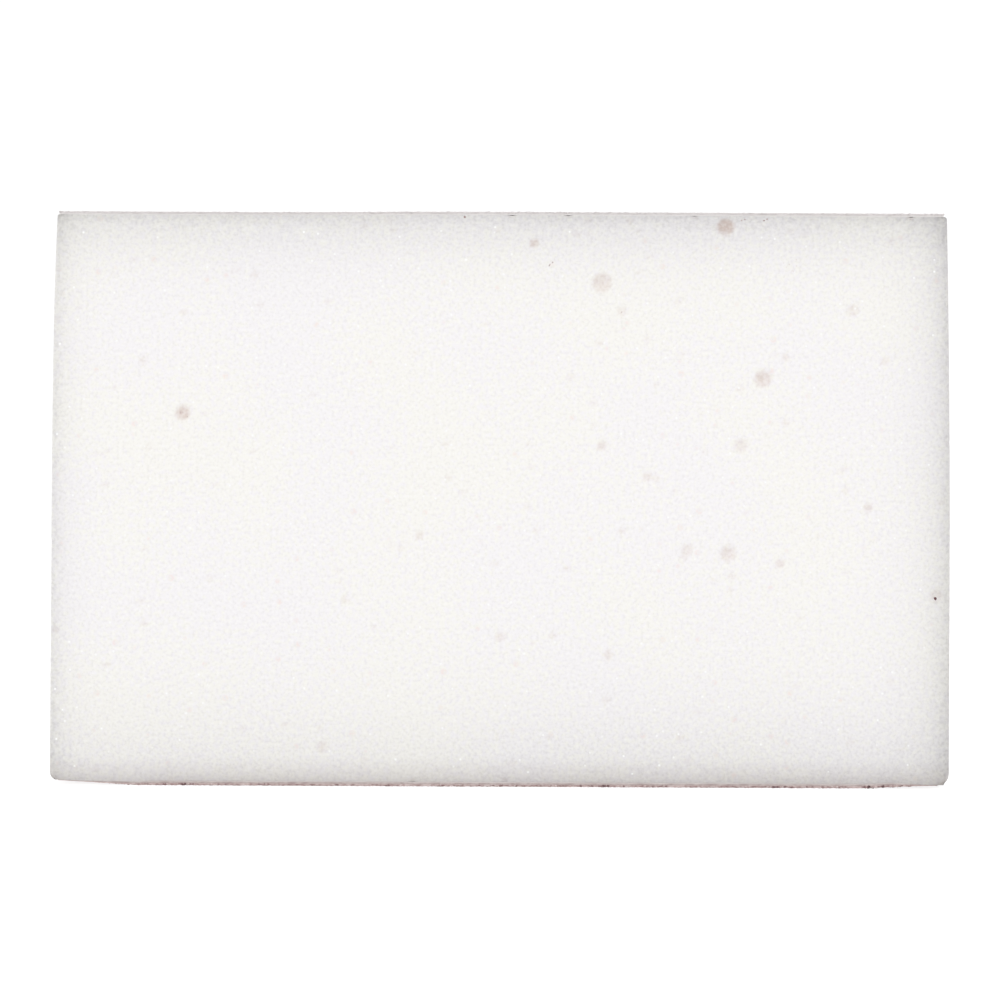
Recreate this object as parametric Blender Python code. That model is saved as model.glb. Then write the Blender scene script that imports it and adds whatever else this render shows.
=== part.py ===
"""Nail buffer block: a white foam block with an abrasive coating on two opposite faces.

Metres, +Z up. The block stands on its coarse face, with its length along X, and the origin
is at the middle of its footprint. From the floor up it is built like the real one: coarse
grit in its resin over a sealed foam slab, and the fine coating on top in the reverse order.
"""
import bmesh
import bpy

# Overall size of the finished block
BLOCK_LENGTH = 0.0396
BLOCK_DEPTH = 0.0254
BLOCK_HEIGHT = 0.0254  # from working face to working face, coatings included

# Foam slab: the two cut ends give a little, so their edges end in a small radius
END_ROUND = 0.00045
END_ROUND_SEGMENTS = 4

# Thickness of each layer of the coatings
COARSE_SEALER = 0.00004
COARSE_MAKE = 0.00008
COARSE_GRIT = 0.0001
FINE_SEALER = 0.00004
FINE_MAKE = 0.00005
FINE_GRIT = 0.00006

# Outline of the coatings, which stay on the foam's flat faces
END_SET_BACK = 0.00002  # from where an end starts to round
SIDE_SET_BACK = 0.00005  # from the front and back faces
COAT_CORNER = 0.0003
COAT_CORNER_SEGMENTS = 4

FOAM_HEIGHT = BLOCK_HEIGHT - (
    COARSE_SEALER + COARSE_MAKE + COARSE_GRIT + FINE_SEALER + FINE_MAKE + FINE_GRIT
)
COAT_LENGTH = BLOCK_LENGTH - 2 * (END_ROUND + END_SET_BACK)
COAT_DEPTH = BLOCK_DEPTH - 2 * SIDE_SET_BACK


def clear_scene():
    for item in list(bpy.data.objects):
        bpy.data.objects.remove(item, do_unlink=True)


def finish(name, colour, roughness):
    """A Principled material with nothing metallic about it."""
    material = bpy.data.materials.new(name)
    material.use_nodes = True
    shader = material.node_tree.nodes["Principled BSDF"]
    shader.inputs["Base Color"].default_value = (*colour, 1.0)
    shader.inputs["Roughness"].default_value = roughness
    shader.inputs["Metallic"].default_value = 0.0
    return material


def slab(length, depth, height):
    """A box centred on its origin in plan, with the origin in its lower face."""
    shape = bmesh.new()
    bmesh.ops.create_cube(shape, size=1.0)
    bmesh.ops.translate(shape, verts=shape.verts, vec=(0.0, 0.0, 0.5))
    bmesh.ops.scale(shape, verts=shape.verts, vec=(length, depth, height))
    return shape


def round_edges(shape, directions, radius, segments):
    """Rounds the box's edges that run along the given axes, 0 for X to 2 for Z."""
    chosen = []
    for edge in shape.edges:
        run = edge.verts[1].co - edge.verts[0].co
        along = max(range(3), key=lambda axis: abs(run[axis]))
        if along in directions:
            chosen.append(edge)
    bmesh.ops.bevel(
        shape, geom=chosen, offset=radius, offset_type="OFFSET",
        segments=segments, profile=0.5, affect="EDGES",
    )


def piece(name, shape, material):
    mesh = bpy.data.meshes.new(name)
    shape.to_mesh(mesh)
    shape.free()
    mesh.materials.append(material)
    return bpy.data.objects.new(name, mesh)


def foam_core(material):
    """The knife-cut foam slab. Its long edges stay square under the coatings."""
    shape = slab(BLOCK_LENGTH, BLOCK_DEPTH, FOAM_HEIGHT)
    round_edges(shape, (1, 2), END_ROUND, END_ROUND_SEGMENTS)
    return piece("foam_core", shape, material)


def coat(name, thickness, material):
    """One layer of a coating."""
    shape = slab(COAT_LENGTH, COAT_DEPTH, thickness)
    round_edges(shape, (2,), COAT_CORNER, COAT_CORNER_SEGMENTS)
    return piece(name, shape, material)


def build():
    clear_scene()
    block = bpy.data.collections.new("nail_buffer_block")
    bpy.context.scene.collection.children.link(block)

    maroon_grit = finish("maroon_grit", (0.13, 0.045, 0.05), 0.75)
    mauve_resin = finish("mauve_resin", (0.42, 0.35, 0.33), 0.50)
    coarse_seal = finish("coarse_seal", (0.78, 0.74, 0.71), 0.45)
    white_foam = finish("white_foam", (0.91, 0.90, 0.88), 0.90)
    fine_seal = finish("fine_seal", (0.86, 0.84, 0.80), 0.45)
    pale_resin = finish("pale_resin", (0.80, 0.74, 0.72), 0.50)
    white_grit = finish("white_grit", (0.84, 0.79, 0.77), 0.70)

    # The stack from the floor up: each piece with its own thickness
    stack = (
        (coat("coarse_grit_coat", COARSE_GRIT, maroon_grit), COARSE_GRIT),
        (coat("coarse_make_coat", COARSE_MAKE, mauve_resin), COARSE_MAKE),
        (coat("coarse_sealer_coat", COARSE_SEALER, coarse_seal), COARSE_SEALER),
        (foam_core(white_foam), FOAM_HEIGHT),
        (coat("fine_sealer_coat", FINE_SEALER, fine_seal), FINE_SEALER),
        (coat("fine_make_coat", FINE_MAKE, pale_resin), FINE_MAKE),
        (coat("fine_grit_coat", FINE_GRIT, white_grit), FINE_GRIT),
    )
    level = 0.0
    for item, thickness in stack:
        block.objects.link(item)
        item.location.z = level
        level += thickness


build()
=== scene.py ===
"""Nail buffer block: white foam with a coarse maroon coating below and a fine pale one on top."""
import math

import bmesh
import bpy
import numpy as np
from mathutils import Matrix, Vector, kdtree, noise
from mathutils.bvhtree import BVHTree


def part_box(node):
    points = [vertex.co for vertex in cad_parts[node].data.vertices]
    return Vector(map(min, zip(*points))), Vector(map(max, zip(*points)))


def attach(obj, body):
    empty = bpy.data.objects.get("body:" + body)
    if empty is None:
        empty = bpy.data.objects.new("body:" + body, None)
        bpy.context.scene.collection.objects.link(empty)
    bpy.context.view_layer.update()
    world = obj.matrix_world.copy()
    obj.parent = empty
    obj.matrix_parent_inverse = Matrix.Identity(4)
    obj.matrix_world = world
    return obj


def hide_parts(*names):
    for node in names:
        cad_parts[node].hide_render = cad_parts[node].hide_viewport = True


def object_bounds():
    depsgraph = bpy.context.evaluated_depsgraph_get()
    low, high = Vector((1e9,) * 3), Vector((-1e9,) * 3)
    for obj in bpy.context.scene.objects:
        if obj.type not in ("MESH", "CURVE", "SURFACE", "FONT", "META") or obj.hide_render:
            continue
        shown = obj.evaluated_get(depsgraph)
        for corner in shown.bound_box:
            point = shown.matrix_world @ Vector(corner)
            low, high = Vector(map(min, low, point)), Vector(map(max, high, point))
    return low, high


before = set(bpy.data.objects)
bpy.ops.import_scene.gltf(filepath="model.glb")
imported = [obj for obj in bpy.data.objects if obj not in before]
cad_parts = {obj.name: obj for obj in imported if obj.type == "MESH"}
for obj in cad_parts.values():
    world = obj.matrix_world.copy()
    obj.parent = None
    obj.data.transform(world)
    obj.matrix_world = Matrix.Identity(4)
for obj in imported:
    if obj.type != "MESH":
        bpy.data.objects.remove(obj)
cad_low, cad_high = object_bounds()

# ---------------------------------------------------------------------------------------
# Foam core
# A slab of fine-celled white polyurethane foam, cut from a coated sheet with a blade on all
# four sides. It swells a little past the stiffer coatings, so its cut faces have soft rims,
# and the blade opens round bubbles in it.
MM = 0.001
foam_low, foam_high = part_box("foam_core")
length = cad_high.x - cad_low.x
height = cad_high.z - cad_low.z
middle = (cad_low.z + cad_high.z) / 2
coarse_thick = foam_low.z - cad_low.z

# Rims: how far a cut face is rounded back where it meets a coating, and over what height
FACE_RIM_IN, FACE_RIM_UP = 0.30 * MM, 1.10 * MM
RIM_TURN = 0.8  # how much of a quarter turn a front or back rim makes; the ends turn fully
UPRIGHT_RIM_X, UPRIGHT_RIM_Y = 1.10 * MM, 0.20 * MM
# Radius of the four end edges, coarse side then fine side, each left then right
END_RADIUS = {("coarse", -1): 0.34 * MM, ("coarse", 1): 0.50 * MM,
              ("fine", -1): 0.06 * MM, ("fine", 1): 0.12 * MM}

# Spacing of the foam's points along the front, the ends and the back, and from row to row.
# The rows crowd together next to a coating, in the outermost EDGE_BAND.
FRONT_STEP, END_STEP, BACK_STEP, ROW_STEP = 0.125 * MM, 0.30 * MM, 0.40 * MM, 0.166 * MM
CORNER_POINTS = 10
EDGE_BAND = 0.5 * MM
EDGE_ROWS = (0.0, 0.02 * MM, 0.06 * MM, 0.13 * MM, 0.22 * MM, 0.34 * MM)

# Where the blade strayed from a square cut. The left end is set in, leans and curls in at
# the fine face, and the right end bows in from BOW_START of the height upwards.
LEFT_SET_IN, LEFT_LEAN, LEFT_CURL = 0.07 * MM, 0.05 * MM, 0.19 * MM
RIGHT_BOW, BOW_START = 0.41 * MM, 0.3
# The coarse face rises towards both ends, and the fine one lies low, most at its left
LEFT_RISE, LEFT_RISE_FROM, LEFT_RISE_TO = 0.20 * MM, -16.0 * MM, -19.3 * MM
RIGHT_RISE, RIGHT_RISE_FROM, RIGHT_RISE_TO = 0.13 * MM, 15.6 * MM, 19.2 * MM
FINE_LOW, FINE_LOW_LEFT, FINE_LOW_RUN = 0.10 * MM, 0.06 * MM, 12.0 * MM
# The coarse coating thins out to THINNEST of its thickness at both ends
THINNEST = 0.15
THIN_LEFT, FULL_LEFT = -19.4 * MM, -14.5 * MM
THIN_RIGHT, FULL_RIGHT = 19.3 * MM, 17.0 * MM


def smooth(low, high, value):
    """0 at low, 1 at high, and a smooth step between them."""
    t = np.clip((value - low) / (high - low), 0, 1)
    return t * t * (3 - 2 * t)


def as_cut(points):
    """Moves points of the square block to where the blade really left them."""
    x, y, z = np.asarray(points, float).T
    u = (x - cad_low.x) / length
    t = np.clip((z - cad_low.z) / height, 0, 1)
    left = cad_low.x + LEFT_SET_IN + LEFT_LEAN * t + LEFT_CURL * t ** 6
    right = cad_high.x - RIGHT_BOW * np.maximum(t - BOW_START, 0) ** 2
    left_rise = np.clip((x - LEFT_RISE_FROM) / (LEFT_RISE_TO - LEFT_RISE_FROM), 0, 1)
    right_rise = smooth(RIGHT_RISE_FROM, RIGHT_RISE_TO, x)
    bottom = cad_low.z + LEFT_RISE * left_rise + RIGHT_RISE * right_rise
    top = cad_high.z - FINE_LOW - FINE_LOW_LEFT * smooth(0.0, FINE_LOW_RUN, -x)
    thin = (THINNEST + (1 - THINNEST) * smooth(THIN_LEFT, FULL_LEFT, x)) * (
        THINNEST + (1 - THINNEST) * smooth(THIN_RIGHT, FULL_RIGHT, x))
    coat = coarse_thick * thin
    rise = z - cad_low.z
    in_foam = coat + (rise - coarse_thick) * (top - bottom - coat) / (height - coarse_thick)
    up = np.where(rise <= coarse_thick, rise * thin, in_foam)
    return np.stack([left + (right - left) * u, y, bottom + up], 1)


def mesh_object(name, points, faces, material, smooth_angle=None):
    """A mesh in the scene, smooth across edges below smooth_angle degrees if one is given."""
    mesh = bpy.data.meshes.new(name)
    mesh.from_pydata([tuple(p) for p in points], [], faces)
    mesh.validate()
    mesh.materials.append(material)
    if smooth_angle:
        mesh.shade_smooth()
        mesh.set_sharp_from_angle(angle=math.radians(smooth_angle))
    item = bpy.data.objects.new(name, mesh)
    bpy.context.scene.collection.objects.link(item)
    return item


def paint(item, name, values):
    """Stores one number for each point, which the material reads by its name."""
    item.data.attributes.new(name, "FLOAT", "POINT").data.foreach_set("value", values)


def plan_outline():
    """Points round the foam in plan, counter-clockwise from the front left corner, each with
    its outward direction. The front gets the closest points."""
    half_x = length / 2 - UPRIGHT_RIM_X
    half_y = (foam_high.y - foam_low.y) / 2 - UPRIGHT_RIM_Y
    spots = []

    def straight(start, end, step, normal):
        count = round((end - start).length / step)
        spots.extend((start.lerp(end, i / count), normal) for i in range(count))

    def corner(sx, sy, first):
        for i in range(CORNER_POINTS):
            a = math.radians(first + 90 * i / CORNER_POINTS)
            c, s = math.cos(a), math.sin(a)
            out = Vector((c / UPRIGHT_RIM_X, s / UPRIGHT_RIM_Y)).normalized()
            spots.append((Vector((sx * half_x + UPRIGHT_RIM_X * c, sy * half_y + UPRIGHT_RIM_Y * s)), out))

    ends, faces = half_x + UPRIGHT_RIM_X, half_y + UPRIGHT_RIM_Y
    straight(Vector((-half_x, -faces)), Vector((half_x, -faces)), FRONT_STEP, Vector((0, -1)))
    corner(1, -1, -90)
    straight(Vector((ends, -half_y)), Vector((ends, half_y)), END_STEP, Vector((1, 0)))
    corner(1, 1, 0)
    straight(Vector((half_x, faces)), Vector((-half_x, faces)), BACK_STEP, Vector((0, 1)))
    corner(-1, 1, 90)
    straight(Vector((-ends, half_y)), Vector((-ends, -half_y)), END_STEP, Vector((-1, 0)))
    corner(-1, -1, 180)
    return spots


def rim_inset(side, out, gap):
    """How far the foam's surface lies inside its outline, gap above or below a coating."""
    share = out.x ** 2
    radius = END_RADIUS[side, 1 if out.x > 0 else -1]
    inward = FACE_RIM_IN + (radius - FACE_RIM_IN) * share
    up = FACE_RIM_UP + (radius - FACE_RIM_UP) * share
    turn = RIM_TURN + (1 - RIM_TURN) * share
    if gap >= up:
        return 0.0
    return inward * (1 - math.sqrt(1 - (turn * (1 - gap / up)) ** 2)) / (1 - math.sqrt(1 - turn ** 2))


def flat_face(spots):
    """The foam's upper face, in strips from its front edge to its back edge, so that it bends
    with the block's length and stays straight across."""
    square_on = 1e-6
    front = sorted((i for i, (spot, out) in enumerate(spots) if out.y < -square_on),
                   key=lambda i: spots[i][0].x)
    back = sorted((i for i, (spot, out) in enumerate(spots) if out.y > square_on),
                  key=lambda i: spots[i][0].x)
    ends = [i for i, (spot, out) in enumerate(spots) if abs(out.y) <= square_on]
    faces = [
        (front[-1], *(i for i in ends if spots[i][0].x > 0), back[-1]),
        (back[0], *(i for i in ends if spots[i][0].x < 0), front[0]),
    ]
    i = j = 0
    while i < len(front) - 1 or j < len(back) - 1:
        front_next = j == len(back) - 1 or (
            i < len(front) - 1 and spots[front[i + 1]][0].x <= spots[back[j + 1]][0].x)
        if front_next:
            faces.append((front[i], front[i + 1], back[j]))
            i += 1
        else:
            faces.append((front[i], back[j + 1], back[j]))
            j += 1
    return faces


def foam_shape():
    """Points and faces of the square foam with its rims, and how many faces its sides have."""
    spots = plan_outline()
    rise = foam_high.z - foam_low.z
    plain = rise - 2 * EDGE_BAND
    rows = round(plain / ROW_STEP)
    between = [EDGE_BAND + plain * i / rows for i in range(rows + 1)]
    levels = [*EDGE_ROWS, *between, *(rise - gap for gap in reversed(EDGE_ROWS))]
    points = []
    for level in levels:
        side, gap = ("coarse", level) if level < rise / 2 else ("fine", rise - level)
        for spot, out in spots:
            place = spot - out * rim_inset(side, out, gap)
            points.append((place.x, place.y, foam_low.z + level))
    n = len(spots)
    faces = [
        (j * n + i, j * n + (i + 1) % n, (j + 1) * n + (i + 1) % n, (j + 1) * n + i)
        for j in range(len(levels) - 1) for i in range(n)
    ]
    sides = len(faces)
    upper = (len(levels) - 1) * n
    for strip in flat_face(spots):
        faces.append(tuple(reversed(strip)))
        faces.append(tuple(upper + i for i in strip))
    return np.array(points), faces, sides


# Bubbles that the blade opened in the front face: x and height above the middle, diameter,
# all in mm, and how brown they look
FRONT_BUBBLES = (
    (4.45, 9.48, 0.80, 0.42), (11.54, 5.29, 0.71, 0.50), (9.88, 12.01, 0.75, 0.80),
    (-13.94, 3.68, 0.60, 0.65), (10.04, -2.41, 0.65, 0.38), (10.59, 2.34, 0.60, 0.24),
    (8.24, -2.24, 0.49, 0.28), (16.18, -0.36, 0.42, 0.30), (0.04, -6.10, 0.42, 0.28),
    (-3.50, -1.68, 0.37, 0.24), (15.48, 8.30, 0.49, 0.26), (-7.76, -10.97, 0.44, 0.28),
    (-15.71, 5.96, 0.37, 0.18), (1.45, 11.22, 0.37, 0.55), (6.46, 0.96, 0.42, 0.28),
    (4.79, -6.87, 0.37, 0.30), (12.33, -2.83, 0.42, 0.32), (4.48, 2.31, 0.42, 0.34),
    (16.90, 6.06, 0.36, 0.20), (-6.78, -4.51, 0.34, 0.18), (5.33, 8.21, 0.42, 0.22),
    (19.20, -4.21, 0.55, 0.25), (12.51, 6.22, 0.34, 0.20), (3.06, 5.34, 0.34, 0.16),
)
# Bubbles scattered over the whole block. Only small ones lie where the surface faces
# forward, with its normal's y below FRONT_FACING.
SCATTERED_BUBBLES, FRONT_FACING = 300, -0.5
SMALL_SHARE = 0.86
SMALL_RADIUS, LARGE_RADIUS = (0.10 * MM, 0.17 * MM), (0.20 * MM, 0.40 * MM)
SMALL_BROWN, LARGE_BROWN = (0.06, 0.22), 0.40
# As shares of a bubble's radius: how deep its dent is, how far out its painted shade is full,
# where the painted shade has faded away, and how far out points belong to the bubble at all
DENT_DEPTH, BUBBLE_SHADE_FULL, BUBBLE_SHADE_GONE, BUBBLE_REACH = 0.22, 0.75, 1.30, 1.35
# The low swell of the cut surface: its height, and how many long and short waves to a metre
SWELL, LONG_WAVES, SHORT_WAVES = 0.005 * MM, 1900.0, 4300.0


def bubbles(co, out):
    """Centre, radius and brownness of each bubble, among points co that face along out."""
    found = [(Vector((x * MM, foam_low.y, middle + z * MM)), d / 2 * MM, brown)
             for x, z, d, brown in FRONT_BUBBLES]
    rng = np.random.default_rng(7)
    for i in rng.integers(0, len(co), SCATTERED_BUBBLES):
        small = rng.random() < SMALL_SHARE or out[i][1] < FRONT_FACING
        radius = rng.uniform(*(SMALL_RADIUS if small else LARGE_RADIUS))
        found.append((Vector(co[i]), radius, rng.uniform(*SMALL_BROWN) if small else LARGE_BROWN))
    return found


def swell(place):
    """The uneven surface of cut foam, from -1 to 1."""
    return 0.6 * noise.noise(place * LONG_WAVES) + 0.4 * noise.noise(place * SHORT_WAVES)


# How much painted shade darkens each rim and how far it reaches, at the left and then at the right,
# with a change from one to the other within MIDDLE_REACH of the middle. The crease is a narrow
# band of painted shade along the last thread of foam at an upright rim.
MIDDLE_REACH = 5 * MM
SIDE_RIM_SHADE, SIDE_REACH = (0.18, 0.25), (0.60 * MM, 1.05 * MM)
FINE_RIM_SHADE, FINE_REACH = (0.27, 0.295), 1.1 * MM
COARSE_RIM_SHADE, COARSE_REACH = (0.20, 0.24), 2.2 * MM
CREASE_SHADE, CREASE_REACH = 0.06, 0.12 * MM
MOST_RIM_SHADE = 0.6


def soil(points):
    """How much painted shade darkens the foam towards its rims, by the distances of points of the
    square block to them. The right rims and the coarse side get the darkest."""
    x, y, z = points.T
    rightward = smooth(-MIDDLE_REACH, MIDDLE_REACH, x)

    def here(pair):
        return pair[0] + (pair[1] - pair[0]) * rightward

    half_depth = (foam_high.y - foam_low.y) / 2
    upright = np.maximum(length / 2 - np.abs(x), half_depth - np.abs(y)).clip(0)
    sides = here(SIDE_RIM_SHADE) * np.exp(-upright / here(SIDE_REACH))
    sides += CREASE_SHADE * np.exp(-upright / CREASE_REACH)
    fine = here(FINE_RIM_SHADE) * np.exp(-(foam_high.z - z) / FINE_REACH)
    coarse = here(COARSE_RIM_SHADE) * np.exp(-(z - foam_low.z) / COARSE_REACH)
    return np.minimum(sides + fine + coarse, MOST_RIM_SHADE)


class Value:
    """A shader socket that takes part in ordinary arithmetic."""

    def __init__(self, nodes, socket):
        self.nodes, self.socket = nodes, socket

    def maths(self, operation, a, b):
        return self.nodes.node("Math", {"operation": operation}, {0: a, 1: b})

    def __add__(self, other):
        return self.maths("ADD", self, other)

    def __sub__(self, other):
        return self.maths("SUBTRACT", self, other)

    def __rsub__(self, other):
        return self.maths("SUBTRACT", other, self)

    def __mul__(self, other):
        return self.maths("MULTIPLY", self, other)

    __radd__, __rmul__ = __add__, __mul__


class Nodes:
    """A tree of nodes, and the one way that nodes are added to it."""

    def __init__(self, tree):
        self.tree = tree

    def node(self, kind, settings=None, sockets=None, out=0):
        node = self.tree.nodes.new("ShaderNode" + kind)
        for name, value in (settings or {}).items():
            if name == "stops":
                while len(node.color_ramp.elements) < len(value):
                    node.color_ramp.elements.new(0.5)
                for stop, (at, colour) in zip(node.color_ramp.elements, value):
                    stop.position, stop.color = at, (*colour, 1.0)
            else:
                setattr(node, name, value)
        for name, value in (sockets or {}).items():
            self.feed(node.inputs[name], value)
        return Value(self, node.outputs[out])

    def feed(self, socket, value):
        if isinstance(value, Value):
            self.tree.links.new(value.socket, socket)
        elif isinstance(value, tuple) and socket.type == "RGBA":
            socket.default_value = (*value, 1.0)
        else:
            socket.default_value = value


class Look(Nodes):
    """The finish of one kind of surface."""

    def __init__(self, name, roughness, specular=0.5):
        self.material = bpy.data.materials.new(name)
        self.material.use_nodes = True
        super().__init__(self.material.node_tree)
        self.surface = self.tree.nodes["Principled BSDF"]
        self.show("Roughness", roughness)
        self.show("Specular IOR Level", specular)
        self.place = self.node("TexCoord", out="Object")

    def show(self, socket, value):
        self.feed(self.surface.inputs[socket], value)

    def mix(self, share, first, second):
        """Two colours, from all first at share 0 to all second at share 1."""
        return self.node("Mix", {"data_type": "RGBA", "clamp_factor": True},
                         {0: share, 6: first, 7: second}, out=2)

    def between(self, value, low, high, to_low=0.0, to_high=1.0):
        """value mapped smoothly from low..high to to_low..to_high, and held beyond them."""
        return self.node("MapRange", {"interpolation_type": "SMOOTHSTEP"},
                         {0: value, 1: low, 2: high, 3: to_low, 4: to_high})

    def cells(self, size, out="Distance"):
        """Cells about size across: the distance to their centres, or a colour for each."""
        return self.node("TexVoronoi", None, {"Vector": self.place, "Scale": 1 / size}, out=out)

    def kinds(self, size, channel=0):
        """A number from 0 to 1 for each of the cells, another one in each channel."""
        return self.node("SeparateColor", None, {0: self.cells(size, "Color")}, out=channel)

    def clouds(self, size, detail=2.0, roughness=0.5):
        return self.node("TexNoise", None, {"Vector": self.place, "Scale": 1 / size,
                                            "Detail": detail, "Roughness": roughness})

    def painted(self, name):
        """The numbers that paint() stored under this name."""
        return self.node("Attribute", {"attribute_name": name}, out="Fac")

    def bump(self, raised, depth, strength=1.0):
        self.show("Normal", self.node("Bump", None, {
            "Strength": strength, "Distance": depth, "Height": raised}))


CREAM, LAVENDER = (0.938, 0.924, 0.886), (0.926, 0.906, 0.918)
CELL_SHADOW, CELL_LIGHT, WALL_LIGHT = (0.70, 0.68, 0.67), (1.0, 0.99, 0.985), (1.0, 1.0, 0.995)
SALMON, BUBBLE_SHADE_BROWN, RIM_SHADE_GREY = (0.86, 0.70, 0.66), (0.69, 0.57, 0.52), (0.10, 0.094, 0.092)
SOAKED_RESIN = (0.50, 0.27, 0.20)
# Sizes of what marks the foam, from the slow drift of its tint down to its cut cells
DRIFT, FRECKLES, WALLS, MOTTLE, CUT_CELLS = 6.0 * MM, 0.80 * MM, 0.60 * MM, 0.24 * MM, 0.135 * MM
SOAK_HEIGHT = 1.2 * MM  # how far the coarse coating's resin has crept up into the foam


def white_foam():
    """Matt white foam: a fine grain of cut cells with painted shade in their hollows and painted
    highlights on their edges, in cream and lavender mottles, with salmon freckles, painted shade
    inside the opened bubbles, painted glints on the cell walls and painted shade at the rims."""
    look = Look("white_foam", 0.85, 0.25)
    mottle = look.clouds(MOTTLE)
    cool = look.between(look.clouds(DRIFT, 1.0) * 0.4 + mottle * 0.6, 0.40, 0.60)
    colour = look.mix(cool, CREAM, LAVENDER)

    # Painted shade in the hollows of the cut cells and painted highlights on their edges, both
    #     # stronger where the rims have painted shade
    rim_shaded = look.painted("soil")
    grain = look.clouds(CUT_CELLS, 3.0)
    depth = 1 + rim_shaded * 3.0
    colour = look.mix(look.between(grain, 0.52, 0.30) * depth * 0.24, colour, CELL_SHADOW)
    colour = look.mix(look.between(grain, 0.52, 0.72) * depth * 0.45, colour, CELL_LIGHT)

    freckle_size = look.between(look.kinds(FRECKLES), 0.45, 1.0, 0.0, 0.18)
    freckle = look.between(look.cells(FRECKLES) - freckle_size, 0.08, -0.08)
    ragged = look.between(grain, 0.42, 0.58, 0.15, 1.0)
    colour = look.mix(freckle * ragged * 0.40, colour, SALMON)
    # Painted shade inside the opened bubbles, darker and browner, broken up by the cells
    bubble_shaded = look.painted("stain") * look.between(grain, 0.35, 0.65, 1.2, 0.80)
    colour = look.mix(bubble_shaded, colour, BUBBLE_SHADE_BROWN)
    # Painted shade at the rims: darker grey towards them, patchy with the mottles
    colour = look.mix(rim_shaded * look.between(mottle, 0.35, 0.65, 0.94, 1.12), colour, RIM_SHADE_GREY)

    above_coat = look.node("SeparateXYZ", None, {0: look.place}, out=2) - foam_low.z
    soaked = look.between(above_coat, 0.0, SOAK_HEIGHT, 1.0, 0.0)
    colour = look.mix(soaked * 0.07, colour, SOAKED_RESIN)

    # Painted glints: sparse spots on the cell walls made almost white, and glossier
    brightness = look.between(look.kinds(WALLS, 1), 0.3, 1.0, 0.10, 1.0)
    glint = look.between(look.cells(WALLS), 0.125, 0.030) * brightness
    look.show("Base Color", look.mix(glint, colour, WALL_LIGHT))
    look.show("Roughness", look.between(glint, 0.0, 1.0, 0.85, 0.35))
    look.bump(grain * 0.6 + glint * 0.6, 0.03 * MM, 0.30)
    return look.material


def foam_core():
    points, faces, sides = foam_shape()
    foam = mesh_object("foam_block", as_cut(points), faces, white_foam(), 50)
    # Painted shade towards the rims, stored for the material to read
    paint(foam, "soil", soil(points))
    mesh = foam.data
    for strip in mesh.polygons[sides:]:
        strip.use_smooth = False
    count = len(mesh.vertices)
    co, out = np.empty(count * 3), np.empty(count * 3)
    mesh.vertices.foreach_get("co", co)
    mesh.vertices.foreach_get("normal", out)
    co, out = co.reshape(-1, 3), out.reshape(-1, 3)
    tree = kdtree.KDTree(count)
    for i, place in enumerate(co):
        tree.insert(place, i)
    tree.balance()
    # Each bubble dents the surface, and painted shade darkens and browns its inside
    dent, stain = np.zeros(count), np.zeros(count)
    for centre, radius, brown in bubbles(co, out):
        for place, i, away in tree.find_range(centre, radius * BUBBLE_REACH):
            r = away / radius
            dent[i] = max(dent[i], DENT_DEPTH * radius * max(0.0, 1 - r * r))
            stain[i] = max(stain[i], brown * float(smooth(BUBBLE_SHADE_GONE, BUBBLE_SHADE_FULL, r)))
    raised = np.array([swell(Vector(place)) for place in co])
    co += out * (SWELL * raised - dent)[:, None]
    mesh.vertices.foreach_set("co", co.ravel())
    paint(foam, "stain", stain)
    mesh.update()
    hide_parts("foam_core")
    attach(foam, "root")
    return foam


foam = foam_core()

# ---------------------------------------------------------------------------------------
# Sealer coats
# A thin film of latex, brushed over both broad faces of the foam before anything else. It
# closes the cut cells, so that the resin stays on top, and it ends where the foam's rims
# round away.
EDGE_GAP = 0.02 * MM  # from where a rim starts to the edge of a coating
EDGE_WANDER = 0.02 * MM
WANDER_WAVES = 2600  # to a metre


def coat_edges(side):
    """Left, right, front and back of a coating."""
    return (cad_low.x + END_RADIUS[side, -1] + EDGE_GAP, cad_high.x - END_RADIUS[side, 1] - EDGE_GAP,
            foam_low.y + FACE_RIM_IN + EDGE_GAP, foam_high.y - FACE_RIM_IN - EDGE_GAP)


def sheet_shape(side, low, high, step, unevenness, seed):
    """A closed thin sheet between two heights. Its outer face is a grid and its inner one is
    strips from front to back, and its edges wander a little."""
    left, right, front, back = coat_edges(side)
    nx, ny = round((right - left) / step), round((back - front) / step)
    shift = Vector((seed * 0.37, seed * 0.11, 0))
    points, index = [], {}
    outer, inner = (low, high) if side == "coarse" else (high, low)
    outward = -1 if side == "coarse" else 1
    for j in range(ny + 1):
        for i in range(nx + 1):
            x, y = left + (right - left) * i / nx, front + (back - front) * j / ny
            rim = i in (0, nx) or j in (0, ny)
            spot = Vector((x, y, 0)) * WANDER_WAVES + shift
            wander = EDGE_WANDER * noise.noise(spot) if rim else 0.0
            y += wander if j in (0, ny) else 0.0
            x += wander if i in (0, nx) else 0.0
            rough = 0.0 if rim else outward * unevenness * noise.noise(spot * 1.7)
            index[i, j] = len(points)
            points.append((x, y, outer + rough))
    loop = ([(i, 0) for i in range(nx)] + [(nx, j) for j in range(ny)]
            + [(i, ny) for i in range(nx, 0, -1)] + [(0, j) for j in range(ny, 0, -1)])
    under = {}
    for key in loop:
        under[key] = len(points)
        x, y, z = points[index[key]]
        points.append((x, y, inner))
    faces = [(index[i, j], index[i + 1, j], index[i + 1, j + 1], index[i, j + 1])
             for j in range(ny) for i in range(nx)]
    for a, b in zip(loop, loop[1:] + loop[:1]):
        faces.append((index[a], under[a], under[b], index[b]))
    for i in range(nx):
        right_side = [under[i + 1, j] for j in (range(ny, -1, -1) if i == nx - 1 else (ny, 0))]
        left_side = [under[i, j] for j in (range(ny + 1) if i == 0 else (0, ny))]
        faces.append(tuple(right_side + left_side))
    if side == "coarse":
        faces = [tuple(reversed(f)) for f in faces]
    return np.array(points), faces


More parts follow.
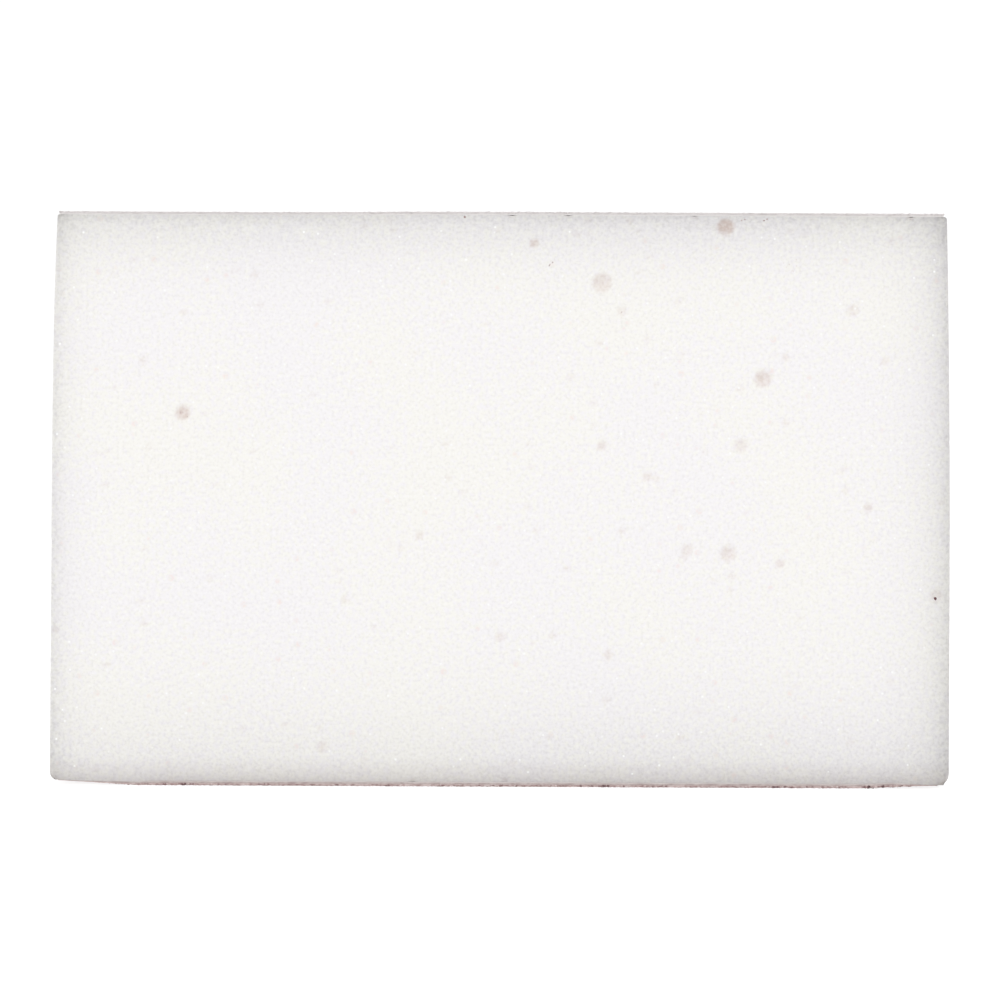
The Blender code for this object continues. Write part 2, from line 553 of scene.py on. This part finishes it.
def layer(name, node, side, material, step, unevenness, seed):
    """One plain layer of a coating, in the place of its CAD node."""
    low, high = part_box(node)
    points, faces = sheet_shape(side, low.z, high.z, step, unevenness, seed)
    item = mesh_object(name, as_cut(points), faces, material, 40)
    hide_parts(node)
    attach(item, "root")


DRIED_LATEX = (0.88, 0.86, 0.83)
SEALER_STEP = 0.5 * MM


def sealer(name, colour):
    look = Look(name, 0.4)
    blotch = look.between(look.clouds(0.6 * MM, 3.0), 0.3, 0.7)
    look.show("Base Color", look.mix(blotch * 0.25, colour, DRIED_LATEX))
    look.bump(look.clouds(0.15 * MM, 3.0), 0.02 * MM, 0.5)
    return look.material


layer("coarse_sealer", "coarse_sealer_coat", "coarse",
      sealer("coarse_sealer", (0.55, 0.50, 0.485)), SEALER_STEP, 0.0, 1)
layer("fine_sealer", "fine_sealer_coat", "fine",
      sealer("fine_sealer", (0.67, 0.645, 0.635)), SEALER_STEP, 0.0, 3)

# ---------------------------------------------------------------------------------------
# Resin coats
# The resin that holds the grains, rolled over the sealer and cured. It is mauve under the
# coarse grains and almost white under the fine ones, and it dries a little blotchy.
MAUVE, DARK_MAUVE = (0.50, 0.425, 0.41), (0.38, 0.30, 0.29)
OFF_WHITE, DARK_OFF_WHITE = (0.67, 0.635, 0.63), (0.59, 0.55, 0.545)
RESIN_STEP = 0.4 * MM


def resin(name, colour, dark):
    look = Look(name, 0.45)
    blotch = look.clouds(0.35 * MM, 4.0, 0.6)
    look.show("Base Color", look.mix(look.between(blotch, 0.35, 0.65), colour, dark))
    look.show("Roughness", look.between(blotch, 0.3, 0.7, 0.35, 0.6))
    look.bump(look.clouds(0.09 * MM, 3.0, 0.6), 0.03 * MM, 0.7)
    return look.material


layer("coarse_resin", "coarse_make_coat", "coarse",
      resin("mauve_resin", MAUVE, DARK_MAUVE), RESIN_STEP, 0.02 * MM, 2)
layer("fine_resin", "fine_make_coat", "fine",
      resin("pale_resin", OFF_WHITE, DARK_OFF_WHITE), RESIN_STEP, 0.01 * MM, 4)

# ---------------------------------------------------------------------------------------
# Grit coats
# Abrasive grains strewn into the wet resin: coarse maroon ones below and fine off-white ones
# on top. At the cut edges foam dust clings to the coarse ones, and at the front left corner
# they have worn off.
GRAIN = {"coarse": 0.050 * MM, "fine": 0.030 * MM}  # average radius
LEAST_GRAIN, MOST_GRAIN = 0.60, 1.15  # as shares of the average
GRIT_STEP = 0.3 * MM
SCATTERED_GRAINS = {"coarse": 4500, "fine": 2500}
# As shares of a grain's radius: how far the bed of grains is set back from the coating's
# full height, how uneven it is, and how far apart the grains along its edges are
BED_SET_BACK, BED_UNEVENNESS, EDGE_SPACING = 0.4, 0.5, 1.7
# Those grains lie in rows. As shares of their spacing: how far one row is from the next, and
# how far a grain strays along its own. EDGE_SCATTER is how far it strays in any direction.
EDGE_ROW_COUNT, ROW_INSET, ROW_STRAY, EDGE_SCATTER = 2, 0.8, 0.35, 0.012 * MM

# Shades run from 0, dark, to 1, pale: over a coating's face, at its cut edges, how much they
# vary from grain to grain, and how patchy the bed of grains is
FACE_SHADE = {"coarse": 0.14, "fine": 0.82}
EDGE_SHADE = {"coarse": 0.66, "fine": 0.64}
UNEVEN_SHADE = {"coarse": 0.38, "fine": 0.20}
PATCHY_SHADE = {"coarse": 0.30, "fine": 0.06}
EDGE_FADE = 0.15 * MM
PATCH_WAVES = 5000  # to a metre

# Where coarse grains pile up dark at the front edge, and half how wide, in mm
CLUMPS = ((-14.8, 0.12), (-13.9, 0.12), (4.7, 0.15), (12.1, 0.15), (16.25, 0.14), (16.9, 0.14))
CLUMP_DEPTH = 0.3 * MM
CLUMP_DARKER, CLUMP_LARGER = 0.85, 0.35  # by how much its grains are, in its middle
# The worn corner: no coarse grain is left within BARE of it, and none is missing past WHOLE.
# The wear reaches further backwards, where only BACKWARD of the distance counts, and each
# grain comes off at its own share of wear, somewhere within WEAR_LIMITS.
BARE, WHOLE, BACKWARD, WEAR_LIMITS = 1.4 * MM, 4.2 * MM, 0.7, (0.15, 0.85)


def grain_template():
    """Points and triangles of the round ball that every grain starts as."""
    ball = bmesh.new()
    bmesh.ops.create_icosphere(ball, subdivisions=1, radius=1.0)
    points = np.array([v.co for v in ball.verts])
    faces = np.array([[v.index for v in f.verts] for f in ball.faces])
    ball.free()
    return points, faces


def grains(places, radii, shades, rng):
    """Angular grains as one set of points and triangles, with a shade for each point."""
    ball, tris = grain_template()
    count, per = len(places), len(ball)
    lumps = ball[None] * rng.uniform(0.6, 1.25, (count, per, 1)) * rng.uniform(0.75, 1.3, (count, 1, 3))
    axes = np.linalg.qr(rng.normal(size=(count, 3, 3)))[0]
    turned = np.einsum("npc,ncd->npd", lumps, axes)
    mirrored = np.linalg.det(axes) < 0
    points = turned * radii[:, None, None] + places[:, None, :]
    faces = tris[None] + (np.arange(count) * per)[:, None, None]
    faces[mirrored] = faces[mirrored][:, :, ::-1]
    return points.reshape(-1, 3), faces.reshape(-1, 3), np.repeat(shades, per)


def edge_places(side, z, rng, spacing):
    """Places for grains along a coating's four edges, a few rows deep."""
    left, right, front, back = coat_edges(side)
    rows = []
    for row in range(EDGE_ROW_COUNT):
        inset = row * spacing * ROW_INSET
        edges = (
            ((left, front + inset), (right, front + inset)),
            ((right - inset, front), (right - inset, back)),
            ((right, back - inset), (left, back - inset)),
            ((left + inset, back), (left + inset, front)),
        )
        for (ax, ay), (bx, by) in edges:
            run = math.dist((ax, ay), (bx, by))
            t = np.arange(0, 1, spacing / run)
            t = t + rng.uniform(-ROW_STRAY, ROW_STRAY, len(t)) * spacing / run
            rows.append(np.stack([ax + (bx - ax) * t, ay + (by - ay) * t, np.full(len(t), z)], 1))
    places = np.concatenate(rows)
    places += rng.normal(0, EDGE_SCATTER, places.shape)
    return places


def worn(places):
    """From 0 to 1, how far the coarse coating has worn off at the front left corner."""
    away = np.hypot(places[:, 0] - cad_low.x, (places[:, 1] - cad_low.y) * BACKWARD)
    return smooth(WHOLE, BARE, away)


def clumped(places):
    """From 0 to 1, how far places lie in one of the dark clumps."""
    x = places[:, :1] / MM
    near = np.exp(-(((x - [at for at, half in CLUMPS]) / [half for at, half in CLUMPS]) ** 2))
    return near.max(axis=1) * (places[:, 1] < coat_edges("coarse")[2] + CLUMP_DEPTH)


def tone(side, places):
    """Average shade of the grains at these places."""
    left, right, front, back = coat_edges(side)
    x, y = places[:, 0], places[:, 1]
    inset = np.minimum(np.minimum(x - left, right - x), np.minimum(y - front, back - y))
    at_edge = np.exp(-inset.clip(0) / EDGE_FADE)
    shade = FACE_SHADE[side] + (EDGE_SHADE[side] - FACE_SHADE[side]) * at_edge
    if side == "coarse":
        shade = shade + (1.0 - shade) * worn(places)
    return shade


def grit(name, side, stops, roughness):
    """A crust of grains, each with a shade and a polish of its own."""
    look = Look(name, roughness, 0.6)
    across = 2.6 * GRAIN[side]
    own = look.kinds(across)
    look.show("Base Color", look.node("ValToRGB", {"stops": stops},
                                      {0: look.painted("shade") * 0.7 + own * 0.3}))
    look.show("Roughness", look.between(own, 0.0, 1.0, roughness - 0.25, roughness + 0.15))
    look.bump(look.cells(across) * -1.0 + look.clouds(GRAIN[side]) * 0.4, GRAIN[side], 0.8)
    return look.material


def grit_coat(name, node, side, material, seed):
    """A crusted bed over the whole face, with single grains round its edges and scattered
    over it."""
    low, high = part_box(node)
    rng = np.random.default_rng(seed)
    size = GRAIN[side]
    set_back = BED_SET_BACK * size
    bed_low, bed_high = (low.z + set_back, high.z) if side == "coarse" else (low.z, high.z - set_back)
    bed, bed_faces = sheet_shape(side, bed_low, bed_high, GRIT_STEP, BED_UNEVENNESS * size, seed)
    face = bed_low if side == "coarse" else bed_high
    edge = edge_places(side, (low.z + high.z) / 2, rng, size * EDGE_SPACING)
    left, right, front, back = coat_edges(side)
    loose = SCATTERED_GRAINS[side]
    over = np.stack([rng.uniform(left, right, loose), rng.uniform(front, back, loose),
                     np.full(loose, face)], 1)
    places = np.concatenate([edge, over])
    if side == "coarse":
        places = places[worn(places) < rng.uniform(*WEAR_LIMITS, len(places))]
    radii = size * rng.uniform(LEAST_GRAIN, MOST_GRAIN, len(places))
    uneven = UNEVEN_SHADE[side]
    shades = tone(side, places) + rng.uniform(-uneven, uneven, len(places))
    if side == "coarse":
        clump = clumped(places)
        shades *= 1 - CLUMP_DARKER * clump
        radii *= 1 + CLUMP_LARGER * clump
    points, faces, shade = grains(places, radii, shades, rng)
    all_faces = bed_faces + [tuple(int(i) + len(bed) for i in f) for f in faces]
    patches = np.array([noise.noise(Vector(p) * PATCH_WAVES) for p in bed])
    bed_shade = tone(side, bed) + PATCHY_SHADE[side] * patches
    item = mesh_object(name, as_cut(np.concatenate([bed, points])), all_faces, material)
    paint(item, "shade", np.concatenate([bed_shade, shade]))
    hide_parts(node)
    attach(item, "root")


MAROON = ((0.0, (0.055, 0.024, 0.027)), (0.25, (0.15, 0.062, 0.067)), (0.5, (0.39, 0.26, 0.25)),
          (0.75, (0.60, 0.48, 0.465)), (1.0, (0.72, 0.64, 0.625)))
PALE = ((0.0, (0.36, 0.30, 0.30)), (0.2, (0.56, 0.505, 0.50)), (0.5, (0.68, 0.64, 0.635)),
        (1.0, (0.88, 0.845, 0.83)))
maroon_grit = grit("maroon_grit", "coarse", MAROON, 0.6)
grit_coat("coarse_grit", "coarse_grit_coat", "coarse", maroon_grit, 11)
grit_coat("fine_grit", "fine_grit_coat", "fine",
          grit("pale_grit", "fine", PALE, 0.55), 12)

# ---------------------------------------------------------------------------------------
# Stray grains
# A few coarse grains that the blade tore out of the coating and dragged over the cut face.
# They sit half sunk in the foam, mostly under the fine edge, and most are dulled by its dust.

# Places on the front face, as x and height above the middle, how many grains lie there, how
# far they spread, their radius, all in mm, and their shade, from bare to dusted pale
STRAY_GRAINS = (
    (-1.60, 12.36, 1, 0.0, 0.055, 0.30), (10.62, 12.30, 2, 0.06, 0.030, 0.80),
    (11.65, 12.30, 2, 0.05, 0.032, 0.60), (12.71, 10.18, 9, 0.28, 0.022, 1.10),
    (19.16, -4.33, 1, 0.0, 0.070, 0.0), (2.15, 10.30, 3, 0.09, 0.035, 0.55),
    (-13.94, 3.68, 4, 0.16, 0.026, 0.95), (5.33, 8.21, 2, 0.06, 0.024, 1.0),
)


def stray_grains():
    rng = np.random.default_rng(21)
    skin = BVHTree.FromPolygons([v.co for v in foam.data.vertices],
                                [tuple(f.vertices) for f in foam.data.polygons])
    places, radii, shades = [], [], []
    for x, up, count, spread, radius, shade in STRAY_GRAINS:
        for i in range(count):
            dx, dz = rng.normal(0, 1, 2) * spread * MM
            start = Vector((x * MM + dx, cad_low.y - MM, middle + up * MM + 0.6 * dz))
            places.append(skin.ray_cast(start, Vector((0, 1, 0)))[0])
            radii.append(radius * rng.uniform(0.8, 1.2) * MM)
            shades.append(shade)
    points, faces, shade = grains(np.array(places), np.array(radii), np.array(shades), rng)
    item = mesh_object("stray_grains", points, [tuple(int(i) for i in f) for f in faces], maroon_grit)
    paint(item, "shade", shade)
    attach(item, "root")


stray_grains()

# ---------------------------------------------------------------------------------------
# Floor, light and camera
# The block stands on a glowing white table in a bright tent, with a wide softbox in front
# and weaker ones at both sides and behind. A long lens faces its front, a shade off level.
scene = bpy.context.scene
scene.view_settings.view_transform = "Standard"
WHITE = (1.0, 1.0, 1.0)

TABLE_GREY, TABLE_GLOW, TABLE_REACH = (0.30, 0.30, 0.30), 0.86, 3.0
table = Look("pale_floor", 0.9, 0.1)
table.show("Base Color", TABLE_GREY)
table.show("Emission Color", WHITE)
table.show("Emission Strength", TABLE_GLOW)
corners = ((-1, -1), (1, -1), (1, 1), (-1, 1))
floor = mesh_object("floor", [(x * TABLE_REACH, y * TABLE_REACH, cad_low.z) for x, y in corners],
                    [(0, 1, 2, 3)], table.material)
floor.visible_diffuse = False

TENT_LIGHT, TENT_SEEN = 0.47, 1.05  # how bright the tent shines, and how bright it looks
world = bpy.data.worlds.new("studio")
scene.world = world
world.use_nodes = True
tent = Nodes(world.node_tree)
background = world.node_tree.nodes["Background"]
tent.feed(background.inputs["Color"], WHITE)
tent.feed(background.inputs["Strength"], tent.node("Mix", None, {
    0: tent.node("LightPath", out="Is Camera Ray"), 2: TENT_LIGHT, 3: TENT_SEEN}))

# Each softbox: strength, spread in degrees, and the direction that its light travels in
SOFTBOXES = {
    "front_softbox": (1.96, 50, (0.12, 0.95, -0.30)),
    "left_softbox": (1.20, 30, (1.0, -0.35, -0.15)),
    "right_softbox": (1.20, 30, (-1.0, -0.35, -0.15)),
    "back_softbox": (1.00, 40, (0.10, -1.0, -0.85)),
}
for name, (strength, spread, travel) in SOFTBOXES.items():
    lamp = bpy.data.lights.new(name, "SUN")
    lamp.energy = strength
    lamp.angle = math.radians(spread)
    softbox = bpy.data.objects.new(name, lamp)
    scene.collection.objects.link(softbox)
    softbox.rotation_euler = Vector(travel).to_track_quat("-Z", "Y").to_euler()

VIEW_WIDTH, EYE_X, EYE_HEIGHT, EYE_TILT = 43.95 * MM, 0.01 * MM, 12.62 * MM, -0.27
camera = bpy.data.cameras.new("camera")
camera.lens = 400.0
camera.sensor_width = 36.0
camera.clip_start = 0.01
camera.clip_end = 50
eye = bpy.data.objects.new("camera", camera)
scene.collection.objects.link(eye)
eye.location = (EYE_X, cad_low.y - VIEW_WIDTH * camera.lens / camera.sensor_width, EYE_HEIGHT)
eye.rotation_euler = (math.radians(90), math.radians(EYE_TILT), 0)
scene.camera = eye
